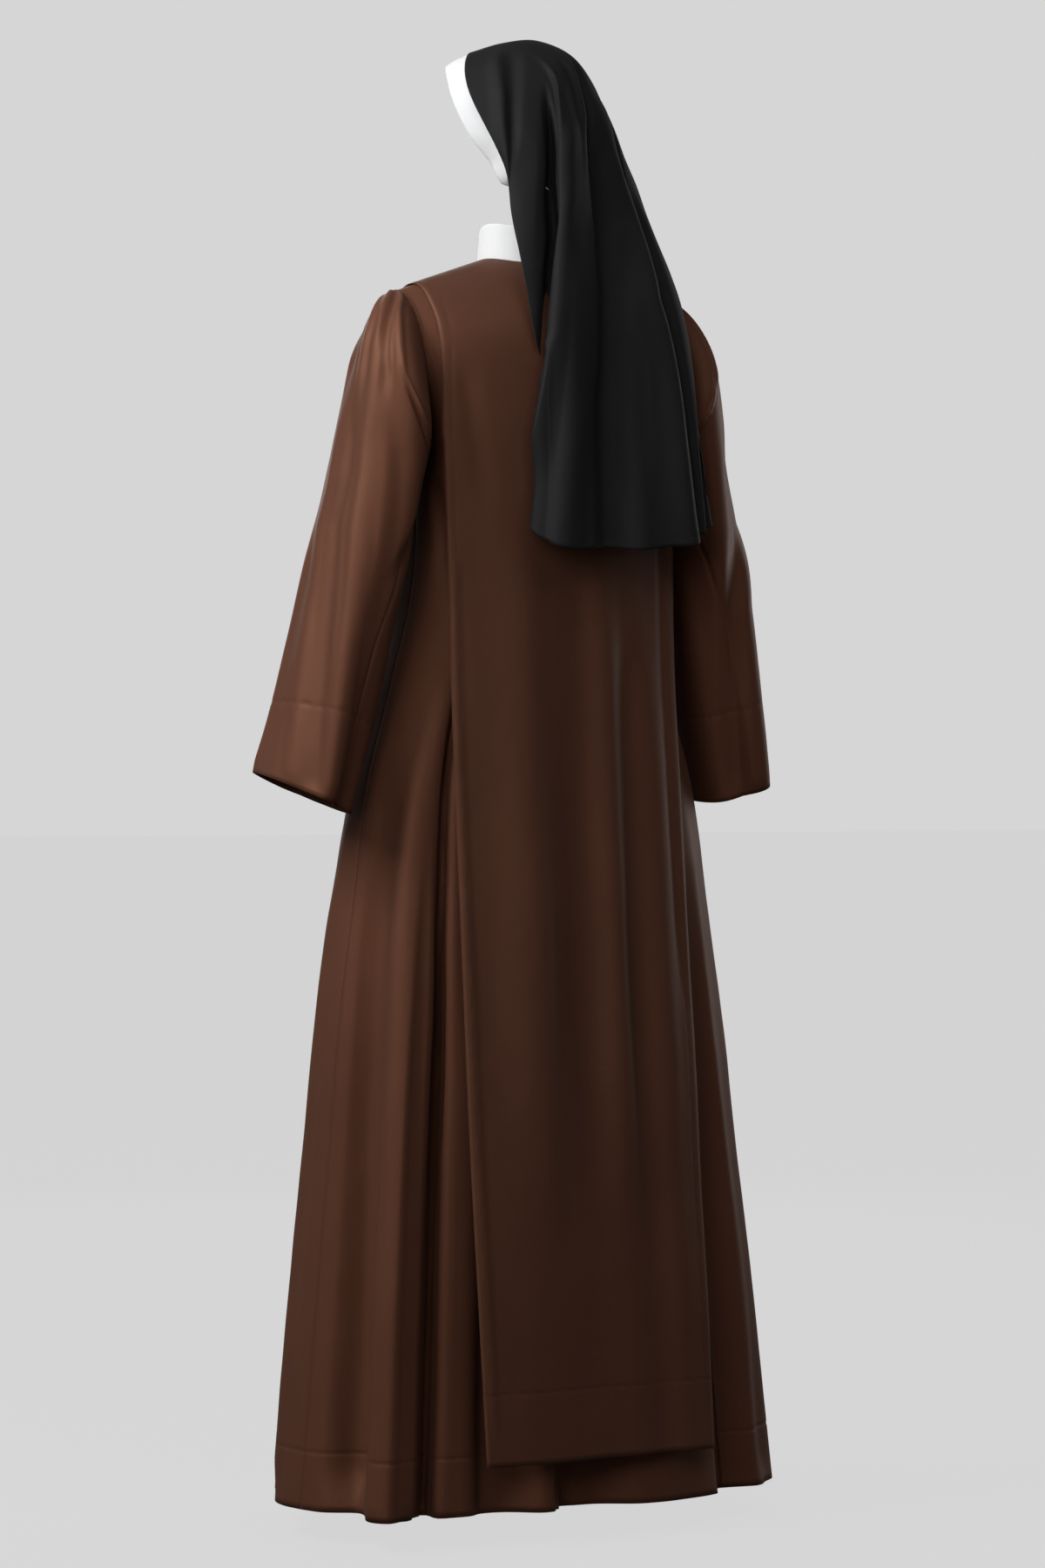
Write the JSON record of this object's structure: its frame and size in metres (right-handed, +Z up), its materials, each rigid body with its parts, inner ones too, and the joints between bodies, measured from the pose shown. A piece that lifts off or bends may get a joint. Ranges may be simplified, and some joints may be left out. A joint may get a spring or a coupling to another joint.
{
  "type": "nun habit",
  "caption": "Full-length habit as worn, hollow: A-line tunic with wide sleeves, long front and back scapular, white stand collar, white head band and black veil turned with the head.",
  "frame": {"origin": "middle of the neck at the height of the shoulders' neck ends, where the wearer carries the habit", "axes": "+Z up, front of the habit towards -Y, wearer's left towards +X"},
  "size_m": [0.655, 0.4037, 1.6799],
  "materials": {
    "tunic_cloth": "brown fine twill with a soft sheen",
    "scapular_cloth": "the same brown twill",
    "white_linen": "crisp plain white weave",
    "veil_cloth": "matte black light weave"
  },
  "bodies": {
    "root": {"tunic_front": "tunic_cloth", "tunic_back": "tunic_cloth", "sleeve_left": "tunic_cloth", "sleeve_right": "tunic_cloth", "scapular_front": "scapular_cloth", "scapular_back": "scapular_cloth", "collar": "white_linen", "veil_band": "white_linen", "veil": "veil_cloth"}
  },
  "joints": []
}
